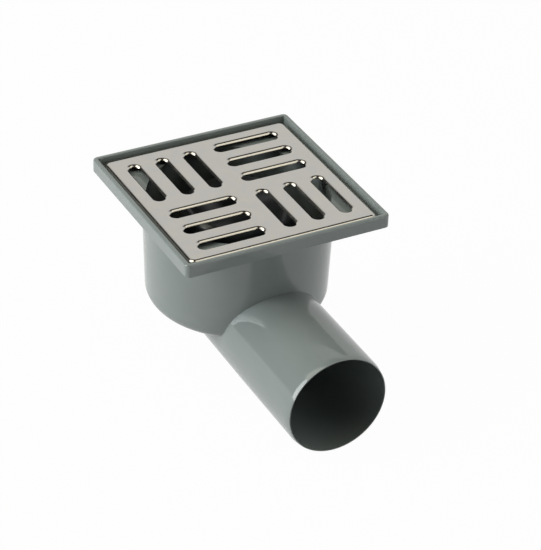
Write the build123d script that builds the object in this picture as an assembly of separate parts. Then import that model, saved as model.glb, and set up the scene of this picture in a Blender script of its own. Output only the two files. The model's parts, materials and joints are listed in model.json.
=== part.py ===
from build123d import *
from math import sqrt
import os

# A floor gully with a water trap: a square frame over a round bowl, with a plain outlet pipe to
# one side, a pressed steel grate that lies in the frame, and a loose bell over the standpipe.
#
# Millimetres. The origin is on the bowl's axis, in the top face of the grate. +Z is up, and +X
# runs along the outlet, away from the bowl.

# The square frame at the top, and the tray in it that holds the grate
frame_width = 103.0
frame_depth = 6.5
frame_corner = 2.5
frame_edge = 0.9
rim_wall = 2.2
rim_inner_edge = 0.4
tray_inner_corner = 1.0
tray_floor = 2.0

# The grate: one sheet, with its outer edge and the edges of its slots turned down
grate_recess = 1.4
grate_gap = 1.5
grate_sheet = 1.0
grate_corner = 3.6
grate_edge = 2.3
grate_margin = 7.4
cross_bar = 8.1
slot_width = 5.7
slot_roll = 2.2
slot_roll_drop = 0.88
slot_land = 5.2
slot_turn_down = 1.3

# The bowl under the frame
flange_reach = 6.5
bowl_depth = 52.3
bowl_taper = 1.8
bowl_wall = 2.0
bowl_bottom_edge = 7.0

# The outlet pipe, which runs in under the bowl to its axis and is closed there by a dome
outlet_diameter = 50.0
outlet_free_length = 55.7
outlet_root_draft = 0.3
outlet_root_wall = 1.8
outlet_mouth_wall = 1.1
outlet_axis_lift = 0.1
lead_in_length = 3.3
lead_in_depth = 0.65

# The standpipe, which rises from the outlet pipe in the middle of the bowl
standpipe_diameter = 40.0
standpipe_wall = 2.0
standpipe_edge = 0.3

# The bell that stands over the standpipe
bell_headroom = 6.3
bell_wall = 1.8
bell_crown = 4.0
bell_taper = 1.5
bell_annulus = 5.5
bell_rim_lift = 2.0
overflow_gap = 4.2
rib_count = 4
rib_thickness = 1.6
rib_clearance = 0.3
rib_seat = 2.6
rib_rim_gap = 5.0

# Heights that follow from the sizes above
grate_top = 0.0
rim_top = grate_top + grate_recess
frame_bottom = rim_top - frame_depth
tray_top = frame_bottom + tray_floor
bowl_bottom = frame_bottom - bowl_depth
outlet_axis = bowl_bottom + outlet_axis_lift
outlet_top = outlet_axis + outlet_diameter / 2
bell_top = grate_top - slot_turn_down - bell_headroom
bell_rim = outlet_top + bell_rim_lift
standpipe_top = bell_top - bell_wall - overflow_gap

# Widths, lengths and radii that follow from the sizes above
tray_width = frame_width - 2 * rim_wall
grate_width = tray_width - 2 * grate_gap
slot_field = grate_width / 2 - grate_margin - cross_bar / 2
slot_field_centre = cross_bar / 2 + slot_field / 2
slot_reach = sqrt(slot_roll**2 - (slot_roll - slot_roll_drop) ** 2)
slot_length = slot_field - 2 * slot_reach
slot_pitch = slot_width + 2 * slot_reach + slot_land
slots_in_group = round((slot_field + slot_land) / slot_pitch)
bowl_radius = frame_width / 2 - flange_reach
outlet_mouth = bowl_radius + outlet_free_length
outlet_radius = outlet_diameter / 2
outlet_root_radius = outlet_radius - outlet_root_draft
standpipe_radius = standpipe_diameter / 2
bell_radius = standpipe_radius + bell_annulus + bell_wall

on_base = (Align.CENTER, Align.CENTER, Align.MIN)


def top_edges(solid):
    """The edges that lie in the highest plane of a solid."""
    return solid.edges().group_by(Axis.Z)[-1]


def hole_edges(solid):
    """The edges around the holes in a solid's top face."""
    top_face = solid.faces().sort_by(Axis.Z)[-1]
    return [edge for wire in top_face.inner_wires() for edge in wire.edges()]


def square_slab(width, corner, bottom, top):
    """A square slab with rounded corners, between two heights."""
    return Pos(0, 0, bottom) * extrude(RectangleRounded(width, width, corner), top - bottom)


def round_bar(radius, bottom, top):
    """A cylinder on the bowl's axis, between two heights."""
    return Pos(0, 0, bottom) * Cylinder(radius, top - bottom, align=on_base)


def bowl_form(inset):
    """The bowl's tapered form up to the tray, inset by a wall from the outside of the bowl."""
    bottom = bowl_bottom + inset
    slope = bowl_taper / bowl_depth
    low_radius = bowl_radius - inset - slope * (frame_bottom - bottom)
    high_radius = bowl_radius - inset + slope * tray_floor
    cone = Pos(0, 0, bottom) * Cone(low_radius, high_radius, tray_top - bottom, align=on_base)
    return fillet(cone.edges().group_by(Axis.Z)[0], bowl_bottom_edge - inset)


def outlet_form(root_radius, stations):
    """A bar from a domed inner end to the mouth, through stations of (x, radius)."""
    outline = Polyline(
        (-root_radius, 0), (outlet_mouth, 0), *reversed(stations), (0, root_radius)
    )
    dome = CenterArc((0, 0), root_radius, 90, 90)
    return Pos(0, 0, outlet_axis) * revolve(make_face(outline + dome), Axis.X)


def outlet_outside():
    """The outlet pipe's outside: slightly tapered under the bowl, then straight to the lead-in."""
    stations = [
        (bowl_radius, outlet_radius),
        (outlet_mouth - lead_in_length, outlet_radius),
        (outlet_mouth, outlet_radius - lead_in_depth),
    ]
    return outlet_form(outlet_root_radius, stations)


def outlet_inside():
    """The outlet pipe's bore, which widens evenly to the mouth."""
    stations = [(outlet_mouth, outlet_radius - outlet_mouth_wall)]
    return outlet_form(outlet_root_radius - outlet_root_wall, stations)


def make_frame():
    """The square frame with its tray, open at the top."""
    frame = square_slab(frame_width, frame_corner, frame_bottom, rim_top)
    frame = fillet(top_edges(frame), frame_edge)
    frame -= square_slab(tray_width, tray_inner_corner, tray_top, rim_top)
    return fillet(hole_edges(frame), rim_inner_edge)


def make_body():
    """The frame, bowl, outlet pipe and standpipe, moulded in one piece."""
    outlet = outlet_outside()
    standpipe = round_bar(standpipe_radius, outlet_axis, standpipe_top)
    standpipe = fillet(top_edges(standpipe), standpipe_edge)
    standpipe_bore = round_bar(standpipe_radius - standpipe_wall, outlet_axis, standpipe_top)
    shell = make_frame() + bowl_form(0) + outlet
    water_space = bowl_form(bowl_wall) - outlet - standpipe
    return shell - water_space - outlet_inside() - standpipe_bore


def slot_places():
    """Where the slots lie: four groups, each turned a quarter from the ones beside it."""
    places = []
    for side_x in (-1, 1):
        for side_y in (-1, 1):
            centre = Pos(side_x * slot_field_centre, side_y * slot_field_centre)
            turn = Rot(0, 0, 0 if side_x == side_y else 90)
            for number in range(slots_in_group):
                offset = (number - (slots_in_group - 1) / 2) * slot_pitch
                places.append(centre * turn * Pos(0, offset))
    return places


def slot_bars(grow, bottom, top):
    """Bars of the slots' outline, grown all round, between two heights."""
    outline = SlotOverall(slot_length + 2 * grow, slot_width + 2 * grow)
    outlines = Sketch() + [place * outline for place in slot_places()]
    return Pos(0, 0, bottom) * extrude(outlines, top - bottom)


def make_grate():
    """The steel plate: a block with rolled edges, hollowed from below to an even sheet."""
    full_turn = slot_reach - slot_roll
    inner_width = grate_width - 2 * grate_sheet
    inner_corner = grate_corner - grate_sheet
    ceiling = grate_top - grate_sheet
    block = square_slab(grate_width, grate_corner, tray_top, grate_top)
    block = fillet(top_edges(block), grate_edge)
    block -= slot_bars(full_turn, tray_top, grate_top)
    block = fillet(hole_edges(block), slot_roll)
    hollow = square_slab(inner_width, inner_corner, tray_top, ceiling)
    hollow = fillet(top_edges(hollow), grate_edge - grate_sheet)
    hollow -= slot_bars(full_turn + grate_sheet, tray_top, ceiling)
    hollow = fillet(hole_edges(hollow), slot_roll - grate_sheet)
    below_slots = square_slab(inner_width, inner_corner, tray_top, grate_top - slot_turn_down)
    return block - hollow - below_slots - slot_bars(0, tray_top, grate_top)


def bell_form(inset):
    """The bell's tapered form, inset by a wall from its outside."""
    low_radius = bell_radius + bell_taper / 2 - inset
    high_radius = bell_radius - bell_taper / 2 - inset
    height = bell_top - inset - bell_rim
    cone = Pos(0, 0, bell_rim) * Cone(low_radius, high_radius, height, align=on_base)
    return fillet(top_edges(cone), bell_crown - inset)


def rib_block(inner_radius, bottom):
    """A flat block from a radius out to the bell's wall, and from a height up to its top."""
    length = bell_radius - inner_radius
    side = (Align.MIN, Align.CENTER, Align.MIN)
    return Pos(inner_radius, 0, bottom) * Box(length, rib_thickness, bell_top - bottom, align=side)


def make_trap_bell():
    """The loose cup, mouth down, with stepped ribs that rest on the standpipe and centre it."""
    guide = rib_block(standpipe_radius + rib_clearance, bell_rim + rib_rim_gap)
    seat = rib_block(standpipe_radius - rib_seat, standpipe_top)
    rib = (guide + seat) & bell_form(bell_wall / 2)
    bell = bell_form(0) - bell_form(bell_wall)
    for number in range(rib_count):
        bell += Rot(0, 0, (number + 0.5) * 360 / rib_count) * rib
    return bell


os.makedirs("parts", exist_ok=True)
export_step(make_body(), "parts/body.step")
export_step(make_grate(), "parts/grate.step")
export_step(make_trap_bell(), "parts/trap_bell.step")
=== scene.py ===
# %% [markdown]
# # A floor gully: dressing the construction in Blender
#
# The object is a small gully for a shower or a washroom floor. One grey plastic moulding holds
# a square frame, a round bowl and an outlet pipe, a pressed steel grate lies in the frame, and
# a loose bell inside keeps drain air out. The construction comes in as a fixed frame, in
# metres, with its origin in the top face of the grate and the outlet along +X. Everything
# below is modelled around it, so nothing has to be fitted afterwards.

# %% Load the construction and keep its box
import json
import math

import bmesh
import bpy
from mathutils import Euler, Matrix, Vector


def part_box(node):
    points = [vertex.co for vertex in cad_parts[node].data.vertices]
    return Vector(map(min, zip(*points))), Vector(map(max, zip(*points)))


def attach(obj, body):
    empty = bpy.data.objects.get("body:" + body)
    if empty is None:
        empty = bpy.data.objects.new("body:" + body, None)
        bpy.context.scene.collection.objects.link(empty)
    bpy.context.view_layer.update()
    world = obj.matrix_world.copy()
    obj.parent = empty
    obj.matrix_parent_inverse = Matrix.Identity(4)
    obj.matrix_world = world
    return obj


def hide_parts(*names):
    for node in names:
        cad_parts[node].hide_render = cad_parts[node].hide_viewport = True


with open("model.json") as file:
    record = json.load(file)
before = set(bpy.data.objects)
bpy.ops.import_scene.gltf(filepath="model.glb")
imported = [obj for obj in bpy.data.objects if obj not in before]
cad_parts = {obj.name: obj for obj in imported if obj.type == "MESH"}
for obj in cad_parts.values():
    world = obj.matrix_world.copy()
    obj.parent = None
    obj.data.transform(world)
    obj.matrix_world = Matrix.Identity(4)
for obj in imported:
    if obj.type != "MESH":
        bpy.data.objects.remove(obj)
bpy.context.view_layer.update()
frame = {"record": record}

# %% [markdown]
# ## The sizes that everything follows
#
# A piece that replaces a construction node has to fill the same space. The main sizes are
# therefore read from the frame: its boxes give the outside, and its mounts give the outlet
# pipe and the underside of the square frame. Only what no box shows, such as a wall's
# thickness or the radius of an edge, is written here as a value in millimetres.

# %% Read the main sizes from the frame
MM = 0.001
body_low, body_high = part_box("body")
grate_low, grate_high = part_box("grate")
bell_low, bell_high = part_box("trap_bell")
mounts = {mount["name"]: mount for mount in frame["record"]["mounts"]}

frame_width = body_high.y - body_low.y
rim_top = body_high.z
frame_bottom = mounts["floor_bed"]["pos_m"][2]
outlet_mouth = body_high.x
outlet_radius = mounts["outlet"]["dims"]["r_mm"] * MM
outlet_axis = mounts["outlet"]["pos_m"][2]
outlet_start = mounts["outlet"]["pos_m"][0] - mounts["outlet"]["dims"]["length_mm"] / 2 * MM
grate_width = grate_high.x - grate_low.x
grate_top = grate_high.z
tray_top = grate_low.z
print("Frame width:", round(frame_width, 4), "outlet radius:", outlet_radius)

# %% [markdown]
# ## The camera
#
# The camera was fitted to the edges that show in the photograph. The fit gives a long lens at
# about 1.1 m, above and to one side of the outlet. A long lens keeps the edges of the square
# frame nearly parallel. The camera aims at a point near the middle of the object, so its lens
# needs no shift, and it is tipped by two degrees about its own line of sight.

# %% Place the camera
camera_azimuth = math.radians(61.43)
camera_elevation = math.radians(33.46)
camera_roll = math.radians(2.07)
camera_distance = 1.1103
camera_target = Vector((0.02371, 0.00542, -0.03537))
camera_lens = 156.5

aim = Euler((math.pi / 2 - camera_elevation, 0, camera_azimuth)).to_matrix()
aim = aim @ Matrix.Rotation(camera_roll, 3, "Z")
backwards = aim @ Vector((0, 0, 1))
bpy.ops.object.camera_add(
    location=camera_target + backwards * camera_distance, rotation=aim.to_euler()
)
camera = bpy.context.object
camera.name = "camera"
camera.data.lens = camera_lens
camera.data.clip_start = 0.01
bpy.context.scene.camera = camera
print("Camera at", [round(c, 3) for c in camera.location])

# %% [markdown]
# ## The way of working
#
# Each piece starts as a primitive and is shaped as by hand: something is selected, then an
# operator works on it. In a script the selecting is done by a test on each vertex, edge or
# face, which says in words where on the piece the work is. A few helpers cover all pieces: one
# selects, one bevels what is selected, one cuts or joins two solids, and one finishes a shape.


# %% Helpers for selecting, bevelling and cutting
def clear_selection():
    """Leave every object unselected, so that an operator acts on the new piece alone."""
    if bpy.context.object and bpy.context.object.mode != "OBJECT":
        bpy.ops.object.mode_set(mode="OBJECT")
    bpy.ops.object.select_all(action="DESELECT")


def named(name):
    """Name the new primitive and put its place, turn and size into its mesh."""
    piece = bpy.context.object
    piece.name = name
    piece.data.name = name
    bpy.ops.object.transform_apply(location=True, rotation=True, scale=True)
    return piece


def pick(piece, kind, test):
    """In edit mode, select only the vertices, edges or faces that pass a test."""
    bpy.ops.object.mode_set(mode="EDIT")
    bpy.ops.mesh.select_mode(type=kind)
    bpy.ops.mesh.select_all(action="DESELECT")
    shape = bmesh.from_edit_mesh(piece.data)
    items = {"VERT": shape.verts, "EDGE": shape.edges, "FACE": shape.faces}[kind]
    chosen = [item for item in items if test(item)]
    for item in chosen:
        item.select_set(True)
    shape.select_flush_mode()
    bmesh.update_edit_mesh(piece.data)
    return len(chosen)


def middle(edge):
    """The point halfway along an edge."""
    return (edge.verts[0].co + edge.verts[1].co) / 2


def sharp(edge):
    """Whether the two faces at an edge meet at a clear angle."""
    return edge.calc_face_angle(0.0) > math.radians(40)


def level(edge, height, slack=0.02 * MM):
    """Whether both ends of an edge lie at a height."""
    return all(abs(corner.co.z - height) < slack for corner in edge.verts)


def round_edges(piece, test, radius, segments, clamp=True):
    """Bevel the edges that pass a test, and leave edit mode."""
    count = pick(piece, "EDGE", test)
    bpy.ops.mesh.bevel(offset=radius, segments=segments, profile=0.5, clamp_overlap=clamp)
    bpy.ops.object.mode_set(mode="OBJECT")
    return count


def combine(piece, tool, operation):
    """Join a tool to a piece, or cut it out, and delete the tool."""
    clear_selection()
    bpy.context.view_layer.objects.active = piece
    piece.select_set(True)
    cut = piece.modifiers.new("cut", "BOOLEAN")
    cut.operation = operation
    cut.solver = "EXACT"
    cut.object = tool
    bpy.ops.object.modifier_apply(modifier=cut.name)
    bpy.data.objects.remove(tool)


def merge_points(piece, distance):
    """Merge the points that a cut left closer together than a distance."""
    pick(piece, "VERT", lambda corner: True)
    bpy.ops.mesh.remove_doubles(threshold=distance)
    bpy.ops.object.mode_set(mode="OBJECT")


def finish_shape(piece, angle):
    """Shade smooth up to an angle and even out the normals."""
    clear_selection()
    bpy.context.view_layer.objects.active = piece
    piece.select_set(True)
    bpy.ops.object.shade_smooth_by_angle(angle=math.radians(angle))
    weighted = piece.modifiers.new("normals", "WEIGHTED_NORMAL")
    weighted.keep_sharp = True
    weighted.weight = 50
    bpy.ops.object.modifier_apply(modifier=weighted.name)
    print(piece.name, "has", len(piece.data.polygons), "faces")


# %% [markdown]
# ## The body: a square frame
#
# The frame is a shallow square tray. A mould leaves no sharp edge on it, and a soft edge is
# what catches the light along the rim. It starts as a cube. The upright edges are bevelled
# first, then the rim's outer edge, and then the top face is inset and pushed down, so the
# wall has the same thickness all round, also in the corners.

# %% Model the square frame
frame_corner = 2.5 * MM
frame_edge = 0.9 * MM
rim_wall = 2.2 * MM
rim_inner_edge = 0.4 * MM
mould_edge = 0.25 * MM

clear_selection()
bpy.ops.mesh.primitive_cube_add(
    size=1,
    location=(0, 0, (rim_top + frame_bottom) / 2),
    scale=(frame_width, frame_width, rim_top - frame_bottom),
)
body = named("gully_body")


def upright(edge):
    """Whether an edge runs up and down."""
    first, last = edge.verts
    return abs(first.co.x - last.co.x) < 0.001 * MM and abs(first.co.y - last.co.y) < 0.001 * MM


round_edges(body, upright, frame_corner, 8)
round_edges(body, lambda edge: level(edge, rim_top), frame_edge, 5)
round_edges(body, lambda edge: level(edge, frame_bottom), mould_edge, 2)

pick(body, "FACE", lambda face: face.normal.z > 0.99)
bpy.ops.mesh.inset(thickness=rim_wall - frame_edge)
bpy.ops.mesh.extrude_region_move(TRANSFORM_OT_translate={"value": (0, 0, tray_top - rim_top)})
bpy.ops.object.mode_set(mode="OBJECT")

inner_half = frame_width / 2 - rim_wall
round_edges(
    body,
    lambda edge: level(edge, rim_top)
    and max(abs(middle(edge).x), abs(middle(edge).y)) < inner_half + 0.1 * MM,
    rim_inner_edge,
    3,
)
print("Frame faces:", len(body.data.polygons))

# %% [markdown]
# ## The body: bowl, outlet and standpipe
#
# The bowl is a cone with a slight taper, as every moulding has so that it leaves its mould,
# and a well rounded bottom. The outlet pipe is a ring that is extruded along X from the dome
# at its closed end to the mouth. It narrows over the last few millimetres, so that a sealing
# ring slides on. Its bore is a second such bar, a wall smaller. The standpipe is the inner
# tube whose lip sets the water level. Solids are joined first and the hollows cut last, so
# that every wall is one clean skin.

# %% Values for the bowl and the pipes
ROUND = 128
bowl_top_radius = outlet_start
outlet_axis_lift = 0.1 * MM
bowl_bottom = outlet_axis - outlet_axis_lift
bowl_taper = 1.8 * MM
bowl_wall = 2.0 * MM
bowl_bottom_edge = 7.0 * MM
outlet_root_draft = 0.3 * MM
outlet_root_wall = 1.8 * MM
outlet_mouth_wall = 1.1 * MM
lead_in_length = 3.3 * MM
lead_in_depth = 0.65 * MM
mouth_edge = 0.14 * MM
standpipe_radius = 20.0 * MM
standpipe_wall = 2.0 * MM
standpipe_edge = 0.3 * MM
bell_wall = 1.8 * MM
overflow_gap = 4.2 * MM
standpipe_top = bell_high.z - bell_wall - overflow_gap
bowl_slope = bowl_taper / (frame_bottom - bowl_bottom)


# %% Model the turned forms
def make_bowl(name, inset, top):
    """The bowl's form, inset by a wall, from its bottom up to a height."""
    bottom = bowl_bottom + inset
    low = bowl_top_radius - inset - bowl_slope * (frame_bottom - bottom)
    high = bowl_top_radius - inset + bowl_slope * (top - frame_bottom)
    clear_selection()
    bpy.ops.mesh.primitive_cone_add(
        vertices=ROUND, radius1=low, radius2=high, depth=top - bottom,
        location=(0, 0, (top + bottom) / 2),
    )
    bowl = named(name)
    round_edges(bowl, lambda edge: level(edge, bottom), bowl_bottom_edge - inset, 12)
    return bowl


def make_outlet(name, root_radius, stations):
    """A bar along X with a domed inner end, extruded as a ring through (x, radius) stations."""
    clear_selection()
    bpy.ops.mesh.primitive_uv_sphere_add(
        segments=ROUND, ring_count=ROUND // 2, radius=root_radius,
        location=(0, 0, outlet_axis), rotation=(0, math.pi / 2, 0),
    )
    outlet = named(name)
    pick(outlet, "FACE", lambda face: True)
    bpy.ops.mesh.bisect(
        plane_co=(0, 0, outlet_axis), plane_no=(1, 0, 0), clear_outer=True, use_fill=False
    )
    pick(outlet, "EDGE", lambda edge: edge.is_boundary)
    place, radius = 0.0, root_radius
    for next_place, next_radius in stations:
        bpy.ops.mesh.extrude_region_move(
            TRANSFORM_OT_translate={"value": (next_place - place, 0, 0)}
        )
        ratio = next_radius / radius
        bpy.ops.transform.resize(
            value=(1, ratio, ratio), center_override=(next_place, 0, outlet_axis)
        )
        place, radius = next_place, next_radius
    bpy.ops.mesh.edge_face_add()
    bpy.ops.mesh.select_all(action="SELECT")
    bpy.ops.mesh.normals_make_consistent(inside=False)
    bpy.ops.object.mode_set(mode="OBJECT")
    return outlet


def make_rod(name, radius, bottom, top):
    """An upright rod on the bowl's axis, between two heights."""
    clear_selection()
    bpy.ops.mesh.primitive_cylinder_add(
        vertices=ROUND, radius=radius, depth=top - bottom, location=(0, 0, (top + bottom) / 2)
    )
    return named(name)


# %% Join the solids, then cut the hollows
inside_floor = tray_top - 0.5 * MM
clear_of_top = rim_top + 5 * MM
clear_of_mouth = outlet_mouth + 2 * MM
bore_root = outlet_radius - outlet_root_draft - outlet_root_wall
bore_mouth = outlet_radius - outlet_mouth_wall
bore_slope = (bore_mouth - bore_root) / outlet_mouth

combine(body, make_bowl("bowl", 0, inside_floor), "UNION")
combine(body, make_bowl("water_space", bowl_wall, clear_of_top), "DIFFERENCE")
outlet_stations = [
    (outlet_start, outlet_radius),
    (outlet_mouth - lead_in_length, outlet_radius),
    (outlet_mouth, outlet_radius - lead_in_depth),
]
combine(body, make_outlet("outlet", outlet_radius - outlet_root_draft, outlet_stations), "UNION")
combine(body, make_rod("standpipe", standpipe_radius, outlet_axis, standpipe_top), "UNION")
bore_stations = [(clear_of_mouth, bore_root + bore_slope * clear_of_mouth)]
combine(body, make_outlet("bore", bore_root, bore_stations), "DIFFERENCE")
standpipe_bore = make_rod(
    "standpipe_bore", standpipe_radius - standpipe_wall, outlet_axis, clear_of_top
)
combine(body, standpipe_bore, "DIFFERENCE")
merge_points(body, 0.02 * MM)
print("Body faces after cutting:", len(body.data.polygons))

# %% [markdown]
# Where the pipe leaves the bowl, the mould has a small radius. It draws a thin light line
# around the joint, so the sharp inner corner gets a bevel there. The corner is found by its
# place: on the bowl's wall, and on the pipe's skin.

# %% Round the inner corner between pipe and bowl
junction_edge = 1.5 * MM


def bowl_radius_at(height):
    """The outer radius of the bowl's tapered wall at a height."""
    return bowl_top_radius - bowl_slope * (frame_bottom - height)


def on_junction(edge):
    """Whether both ends of an edge lie on the bowl's wall and on the pipe's skin."""
    for corner in edge.verts:
        x, y, z = corner.co
        off_bowl = abs(math.hypot(x, y) - bowl_radius_at(z))
        off_pipe = abs(math.hypot(y, z - outlet_axis) - outlet_radius)
        if x < 0 or z < bowl_bottom + bowl_bottom_edge or max(off_bowl, off_pipe) > 0.1 * MM:
            return False
    return True


junction_count = round_edges(body, on_junction, junction_edge, 4)
print("Edges in the inner corner:", junction_count)

# %% [markdown]
# A mould can't make a knife edge. The mouth's thin end and the standpipe's lip are rounded
# last, because only then do both of their edges exist.

# %% Round the mouth and the standpipe's lip
mouth_count = round_edges(
    body,
    lambda edge: all(abs(corner.co.x - outlet_mouth) < 0.01 * MM for corner in edge.verts),
    mouth_edge,
    2,
)
lip_count = round_edges(
    body,
    lambda edge: level(edge, standpipe_top)
    and middle(edge).xy.length < standpipe_radius + MM,
    standpipe_edge,
    2,
)
print("Mouth edges:", mouth_count, "lip edges:", lip_count)
finish_shape(body, 30)

# %% [markdown]
# ## The grate
#
# The grate is punched from a sheet of stainless steel about 1 mm thick. The press also turns
# down the sheet's outer edge and the edge of each slot, so that bare feet meet no sharp steel,
# and those rolled edges are what shines. It starts as a slab whose upper edge is rolled by a
# bevel. The twelve slots are cut out next, their edges are rolled in the same way, and the
# sheet's thickness is given last.

# %% Values for the grate
grate_corner = 3.6 * MM
grate_edge = 2.3 * MM
grate_sheet = 1.0 * MM
grate_margin = 7.4 * MM
cross_bar = 8.1 * MM
slots_in_group = 3
slot_half_width = 4.6 * MM
slot_roll = 2.2 * MM
slot_roll_drop = 0.88 * MM
slot_pitch = 14.42 * MM
slot_field = grate_width / 2 - grate_margin - cross_bar / 2
slot_field_centre = cross_bar / 2 + slot_field / 2
slot_half_length = slot_field / 2

# %% Model the slab, roll its edge and cut the slots
clear_selection()
bpy.ops.mesh.primitive_cube_add(
    size=1,
    location=(0, 0, (grate_top + tray_top) / 2),
    scale=(grate_width, grate_width, grate_top - tray_top),
)
grate = named("steel_grate")
round_edges(grate, upright, grate_corner, 12)
rim_edges = round_edges(grate, lambda edge: level(edge, grate_top), grate_edge, 8, clamp=False)
print("Outer edges rolled:", rim_edges)


def make_slot(centre, along_x):
    """A bar with round ends for one slot, as narrow as rolls that turned down fully leave it."""
    half_width = slot_half_width - slot_roll
    half_length = slot_half_length - slot_roll
    size = (2 * half_length, 2 * half_width) if along_x else (2 * half_width, 2 * half_length)
    clear_selection()
    bpy.ops.mesh.primitive_cube_add(size=1, location=centre, scale=(*size, 12 * MM))
    slot = named("slot")
    round_edges(slot, upright, half_width, 12)
    merge_points(slot, 0.01 * MM)
    return slot


slots = []
for side_x in (-1, 1):
    for side_y in (-1, 1):
        for number in range(slots_in_group):
            offset = (number - (slots_in_group - 1) / 2) * slot_pitch
            along_x = side_x == side_y
            centre = Vector((side_x * slot_field_centre, side_y * slot_field_centre, 0))
            centre += Vector((0, offset, 0)) if along_x else Vector((offset, 0, 0))
            slots.append(make_slot(centre, along_x))
clear_selection()
for slot in slots:
    slot.select_set(True)
bpy.context.view_layer.objects.active = slots[0]
bpy.ops.object.join()
combine(grate, slots[0], "DIFFERENCE")
print("Slots cut:", len(slots))


# %% Roll the slots' edges, then give the sheet its thickness
def near_rim(point):
    """Whether a point is on the grate's outer edge and not on a slot."""
    return max(abs(point.x), abs(point.y)) > grate_width / 2 - 1.2 * grate_corner


slot_edges = round_edges(
    grate,
    lambda edge: level(edge, grate_top) and sharp(edge) and not near_rim(middle(edge)),
    slot_roll,
    12,
    clamp=False,
)
pick(grate, "FACE", lambda face: face.normal.z < -0.99)
bpy.ops.mesh.delete(type="FACE")
pick(
    grate,
    "FACE",
    lambda face: face.normal.z < 0.9999 and not near_rim(face.calc_center_median()),
)
bpy.ops.mesh.bisect(
    plane_co=(0, 0, grate_top - slot_roll_drop), plane_no=(0, 0, -1), clear_outer=True
)
bpy.ops.object.mode_set(mode="OBJECT")
sheet = grate.modifiers.new("sheet", "SOLIDIFY")
sheet.thickness = grate_sheet
sheet.offset = -1
sheet.use_even_offset = True
clear_selection()
bpy.context.view_layer.objects.active = grate
grate.select_set(True)
bpy.ops.object.modifier_apply(modifier=sheet.name)
print("Slot edges rolled:", slot_edges)
finish_shape(grate, 35)

# %% [markdown]
# ## The bell
#
# Under the grate stands a loose cup, mouth down, over the standpipe. Water has to pass under
# its rim, which stands in water, and so no air comes up from the drain. Only its top shows,
# through the slots. It is a cone with a rounded crown whose lower face is deleted, and the
# sheet that is left is given the wall's thickness. Inside are four ribs, each with a step: the
# upper half rests on the standpipe's lip, and the lower half stands beside it and centres the
# bell. Each rib is trimmed by the bell's own form, inset by half a wall, so it ends in the wall.

# %% Model the bell and its ribs
bell_crown = 4.0 * MM
bell_taper = 1.5 * MM
bell_low_radius = bell_high.x
bell_rim = bell_low.z
bell_top = bell_high.z
rib_count = 4
rib_thickness = 1.6 * MM
rib_clearance = 0.3 * MM
rib_seat = 2.6 * MM
rib_rim_gap = 5.0 * MM


def make_bell_form(name, inset):
    """The bell's solid form, inset from the outside, from its rim up to its crown."""
    top = bell_top - inset
    clear_selection()
    bpy.ops.mesh.primitive_cone_add(
        vertices=ROUND,
        radius1=bell_low_radius - inset,
        radius2=bell_low_radius - bell_taper - inset,
        depth=top - bell_rim,
        location=(0, 0, (top + bell_rim) / 2),
    )
    form = named(name)
    round_edges(form, lambda edge: level(edge, top), bell_crown - inset, 8)
    return form


def make_rib_block(inner_radius, bottom, angle):
    """A thin block from a radius outwards and from a height up to the crown."""
    length = bell_low_radius - inner_radius
    centre = Vector((inner_radius + length / 2, 0, (bell_top + bottom) / 2))
    clear_selection()
    bpy.ops.mesh.primitive_cube_add(
        size=1,
        location=Matrix.Rotation(angle, 3, "Z") @ centre,
        rotation=(0, 0, angle),
        scale=(length, rib_thickness, bell_top - bottom),
    )
    return named("rib")


bell = make_bell_form("water_seal_bell", 0)
pick(bell, "FACE", lambda face: face.normal.z < -0.99)
bpy.ops.mesh.delete(type="FACE")
bpy.ops.object.mode_set(mode="OBJECT")
cup = bell.modifiers.new("cup", "SOLIDIFY")
cup.thickness = bell_wall
cup.offset = -1
cup.use_even_offset = True
bpy.ops.object.modifier_apply(modifier=cup.name)

for number in range(rib_count):
    angle = (number + 0.5) * math.tau / rib_count
    rib = make_rib_block(standpipe_radius + rib_clearance, bell_rim + rib_rim_gap, angle)
    combine(rib, make_rib_block(standpipe_radius - rib_seat, standpipe_top, angle), "UNION")
    combine(rib, make_bell_form("trim", bell_wall / 2), "INTERSECT")
    combine(bell, rib, "UNION")
merge_points(bell, 0.01 * MM)
finish_shape(bell, 35)

# %% [markdown]
# ## Finishes
#
# Each finish is one material with its own small node tree. Colours are given as sRGB hex
# values and turned to the linear values that the shader works in.


# %% Helpers for colours and nodes
def linear(hex_colour):
    """A linear colour with alpha from an sRGB hex value."""
    parts = [int(hex_colour[place : place + 2], 16) / 255 for place in (1, 3, 5)]
    return [c / 12.92 if c <= 0.04045 else ((c + 0.055) / 1.055) ** 2.4 for c in parts] + [1.0]


def add_node(tree, kind, settings=None, inputs=None):
    """Add a node to a tree, with its settings, and with values or links on its inputs."""
    node = tree.nodes.new(kind)
    for name, value in (settings or {}).items():
        setattr(node, name, value)
    for name, value in (inputs or {}).items():
        if isinstance(value, bpy.types.NodeSocket):
            tree.links.new(value, node.inputs[name])
        else:
            node.inputs[name].default_value = value
    return node


def new_material(name):
    """A material with a Principled shader, and its node tree and shader."""
    material = bpy.data.materials.new(name)
    material.use_nodes = True
    tree = material.node_tree
    return material, tree, tree.nodes["Principled BSDF"]


# %% [markdown]
# ** Moulded polypropylene, grey for the body and near black for the bell.** The bell's near black is
# partly painted shade: it keeps dark what shows of it through the slots, where the inside lies
# in shade under the grate. The body is injection moulded, and its mould was polished, so it is
# glossy.
# Three things tell the eye that it is plastic and not paint. The skin is slightly wavy where the
# thick walls shrank, which bends every reflection. It has a fine orange peel. And the pigment
# isn't mixed quite evenly, which leaves faint clouds that are drawn out along the way the melt
# flowed. All three are noise on Object coordinates, which are in metres, so a scale of 1 / (9
# mm) gives waves about 9 mm long.


# %% Moulded polypropylene
def per(length):
    """The texture scale, in object units of one metre, for a pattern of a given length."""
    return 1 / length


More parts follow.
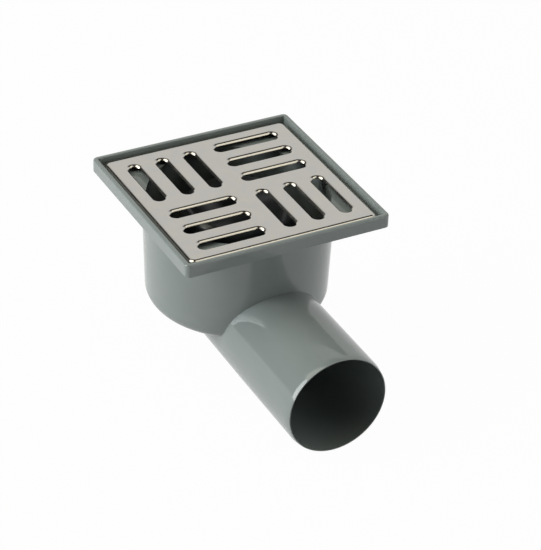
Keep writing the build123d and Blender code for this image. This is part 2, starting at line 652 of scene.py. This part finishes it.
def moulded_bump(tree, where, wave_length, wave_height, grain_length, grain_height):
    """Shrinkage waves with a fine grain on top, as a chain of two bumps."""
    waves = add_node(
        tree,
        "ShaderNodeTexNoise",
        inputs={"Vector": where, "Scale": per(wave_length), "Detail": 1.0, "Roughness": 0.4},
    )
    grain = add_node(
        tree,
        "ShaderNodeTexNoise",
        inputs={"Vector": where, "Scale": per(grain_length), "Detail": 2.0, "Roughness": 0.5},
    )
    wavy = add_node(
        tree,
        "ShaderNodeBump",
        inputs={"Strength": 1.0, "Distance": wave_height, "Height": waves.outputs["Fac"]},
    )
    return add_node(
        tree,
        "ShaderNodeBump",
        inputs={
            "Strength": 1.0,
            "Distance": grain_height,
            "Height": grain.outputs["Fac"],
            "Normal": wavy.outputs["Normal"],
        },
    )


def make_plastic(name, light, dark, smooth, dull):
    """A moulded plastic, clouded between two near colours and between two roughnesses."""
    material, tree, shader = new_material(name)
    shader.inputs["IOR"].default_value = 1.49
    where = add_node(tree, "ShaderNodeTexCoord").outputs["Object"]
    flow = add_node(
        tree, "ShaderNodeMapping", inputs={"Vector": where, "Scale": (0.35, 1.0, 1.0)}
    )
    clouds = add_node(
        tree,
        "ShaderNodeTexNoise",
        inputs={
            "Vector": flow.outputs["Vector"],
            "Scale": per(14 * MM),
            "Detail": 4.0,
            "Roughness": 0.55,
            "Distortion": 1.2,
        },
    )
    colour = add_node(
        tree,
        "ShaderNodeMix",
        {"data_type": "RGBA"},
        {"Factor": clouds.outputs["Fac"], "A": linear(dark), "B": linear(light)},
    )
    handled = add_node(
        tree,
        "ShaderNodeTexNoise",
        inputs={"Vector": where, "Scale": per(22 * MM), "Detail": 3.0, "Roughness": 0.6},
    )
    gloss = add_node(
        tree,
        "ShaderNodeMapRange",
        inputs={
            "Value": handled.outputs["Fac"],
            "From Min": 0.35,
            "From Max": 0.7,
            "To Min": smooth,
            "To Max": dull,
        },
    )
    skin = moulded_bump(tree, where, 9 * MM, 0.02 * MM, 0.9 * MM, 0.0012 * MM)
    tree.links.new(colour.outputs["Result"], shader.inputs["Base Color"])
    tree.links.new(gloss.outputs["Result"], shader.inputs["Roughness"])
    tree.links.new(skin.outputs["Normal"], shader.inputs["Normal"])
    return material


# %% [markdown]
# **Stainless steel sheet.** The grate is cold rolled sheet with a satin mill finish, pressed and
# lightly polished. It has no brushed lines. The press leaves the lands a little uneven, which
# shows as slow changes of brightness, and handling leaves faint smudges where it is duller. Its
# colour is a warm grey that drifts slightly, as rolled steel does.


# %% Stainless steel sheet
def make_steel():
    """Satin stainless steel, metallic, with smudges, a fine grain and slow unevenness."""
    material, tree, shader = new_material("stainless_steel_sheet")
    shader.inputs["Metallic"].default_value = 1.0
    where = add_node(tree, "ShaderNodeTexCoord").outputs["Object"]
    drift = add_node(
        tree,
        "ShaderNodeTexNoise",
        inputs={"Vector": where, "Scale": per(7 * MM), "Detail": 3.0, "Roughness": 0.6},
    )
    colour = add_node(
        tree,
        "ShaderNodeMix",
        {"data_type": "RGBA"},
        {"Factor": drift.outputs["Fac"], "A": linear("#c6c5c4"), "B": linear("#d2cdbf")},
    )
    smudges = add_node(
        tree,
        "ShaderNodeTexNoise",
        inputs={"Vector": where, "Scale": per(11 * MM), "Detail": 5.0, "Roughness": 0.65},
    )
    gloss = add_node(
        tree,
        "ShaderNodeMapRange",
        inputs={
            "Value": smudges.outputs["Fac"],
            "From Min": 0.3,
            "From Max": 0.7,
            "To Min": 0.13,
            "To Max": 0.21,
        },
    )
    skin = moulded_bump(tree, where, 12 * MM, 0.012 * MM, 0.5 * MM, 0.0008 * MM)
    tree.links.new(colour.outputs["Result"], shader.inputs["Base Color"])
    tree.links.new(gloss.outputs["Result"], shader.inputs["Roughness"])
    tree.links.new(skin.outputs["Normal"], shader.inputs["Normal"])
    return material


def give(piece, material):
    """Give a piece one material."""
    piece.data.materials.clear()
    piece.data.materials.append(material)


body_plastic = ("#828a88", "#7b8382", 0.06, 0.11)
# The bell's near black colour is partly painted shade: it darkens what shows through the slots,
# where the inside lies in shade.
bell_plastic = ("#2c3031", "#25292a", 0.32, 0.45)
give(body, make_plastic("moulded_grey_polypropylene", *body_plastic))
give(bell, make_plastic("satin_black_polypropylene", *bell_plastic))
give(grate, make_steel())

print("Materials:", [piece.data.materials[0].name for piece in (body, bell, grate)])

# %% Dress the nodes
for piece, node, slot in (
    (body, "body", "grey_plastic"),
    (grate, "grate", "stainless_steel"),
    (bell, "trap_bell", "bell_plastic"),
):
    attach(piece, "root")
    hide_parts(node)
    print(piece.name, "replaces", node, "with slot", slot)

# %% [markdown]
# ## The studio
#
# The photograph has a white ground without a clear shadow. The floor is pale grey to the light
# that falls on it, and nearly white to the camera, with a small share of grey that keeps the
# object's shadow. What the steel mirrors is white too, a little less.

# %% Floor
white_share = 0.975
white_in_mirrors = 0.8
floor_height = outlet_axis - outlet_radius
clear_selection()
bpy.ops.mesh.primitive_plane_add(size=8, location=(0, 0, floor_height))
floor = named("floor")
material, tree, shader = new_material("white_studio_floor")
shader.inputs["Base Color"].default_value = (0.6, 0.6, 0.6, 1)
shader.inputs["Roughness"].default_value = 1.0
shader.inputs["Specular IOR Level"].default_value = 0.0
path = add_node(tree, "ShaderNodeLightPath")
glow = add_node(tree, "ShaderNodeEmission", inputs={"Color": (1, 1, 1, 1), "Strength": 1.0})
mirrored = add_node(
    tree,
    "ShaderNodeMath",
    {"operation": "MULTIPLY"},
    {0: path.outputs["Is Glossy Ray"], 1: white_in_mirrors},
)
seen = add_node(
    tree,
    "ShaderNodeMath",
    {"operation": "MAXIMUM"},
    {0: path.outputs["Is Camera Ray"], 1: mirrored.outputs[0]},
)
share = add_node(
    tree, "ShaderNodeMath", {"operation": "MULTIPLY"}, {0: seen.outputs[0], 1: white_share}
)
mix = add_node(
    tree,
    "ShaderNodeMixShader",
    inputs={0: share.outputs[0], 1: shader.outputs[0], 2: glow.outputs[0]},
)
tree.links.new(mix.outputs[0], tree.nodes["Material Output"].inputs["Surface"])
give(floor, material)
print("Floor at", round(floor_height, 4))

# %% [markdown]
# The steel plate shows nothing but what it mirrors, and from this camera that is a low part of
# the wall behind the object. So the world is a dark room with a white sweep on that side, up to
# the height where the plate's rolled edges turn dark in the photograph.

# %% World: a dark studio with a white sweep behind
sweep_direction = (-0.62, 0.78, 0.0)
sweep_level = 0.8
room_level = 0.02
bpy.context.scene.view_settings.view_transform = "Standard"
world = bpy.data.worlds.new("studio")
bpy.context.scene.world = world
world.use_nodes = True
tree = world.node_tree
tree.nodes.clear()
sight = add_node(tree, "ShaderNodeTexCoord")
split = add_node(tree, "ShaderNodeSeparateXYZ", inputs={0: sight.outputs["Generated"]})
low = add_node(
    tree,
    "ShaderNodeMapRange",
    {"interpolation_type": "SMOOTHSTEP"},
    {
        "Value": split.outputs["Z"],
        "From Min": 0.64,
        "From Max": 0.80,
        "To Min": 1.0,
        "To Max": 0.0,
    },
)
facing = add_node(
    tree,
    "ShaderNodeVectorMath",
    {"operation": "DOT_PRODUCT"},
    {0: sight.outputs["Generated"], 1: sweep_direction},
)
behind = add_node(
    tree,
    "ShaderNodeMapRange",
    {"interpolation_type": "SMOOTHSTEP"},
    {"Value": facing.outputs["Value"], "From Min": 0.32, "From Max": 0.46},
)
sweep = add_node(
    tree, "ShaderNodeMath", {"operation": "MULTIPLY"}, {0: low.outputs[0], 1: behind.outputs[0]}
)
level_node = add_node(
    tree,
    "ShaderNodeMapRange",
    inputs={"Value": sweep.outputs[0], "To Min": room_level, "To Max": sweep_level},
)
path = add_node(tree, "ShaderNodeLightPath")
seen = add_node(
    tree,
    "ShaderNodeMath",
    {"operation": "MAXIMUM"},
    {0: level_node.outputs[0], 1: path.outputs["Is Camera Ray"]},
)
background = add_node(
    tree, "ShaderNodeBackground", inputs={"Color": (1, 1, 1, 1), "Strength": seen.outputs[0]}
)
add_node(tree, "ShaderNodeOutputWorld", inputs={0: background.outputs[0]})
print("World nodes:", len(tree.nodes))

# %% [markdown]
# Four soft boxes light the object. The strong one stands low on the left and shapes the bowl
# and the pipe, two warm ones hang above, and a small one on the right lifts the front faces.
# Each has a radiance, so that its size can change without changing how bright it looks in a
# mirror, and its power follows from its area.


# %% Lamps
lamp_distance = 1.6


def soft_box(name, direction, width, height, radiance, colour):
    """A rectangular lamp that faces the object from a direction."""
    clear_selection()
    towards = Vector(direction).normalized()
    bpy.ops.object.light_add(type="AREA", location=towards * lamp_distance)
    lamp = bpy.context.object
    lamp.name = name
    lamp.data.shape = "RECTANGLE"
    lamp.data.size = width
    lamp.data.size_y = height
    lamp.data.energy = radiance * width * height * math.pi
    lamp.data.color = colour
    lamp.rotation_euler = towards.to_track_quat("Z", "Y").to_euler()
    print(name, "has", round(lamp.data.energy, 1), "watts")


warm = (1.0, 0.955, 0.83)
neutral = (0.97, 1.0, 1.0)
soft_box("top_strip", (0.30, 0.40, 0.87), 0.8, 1.2, 1.25, warm)
soft_box("top_left", (-0.22, -0.48, 0.85), 1.2, 1.2, 2.45, warm)
soft_box("key_left", (-0.26, -0.945, 0.24), 1.0, 1.5, 7.0, neutral)
soft_box("fill_right", (0.90, 0.38, 0.18), 1.0, 0.7, 2.5, neutral)
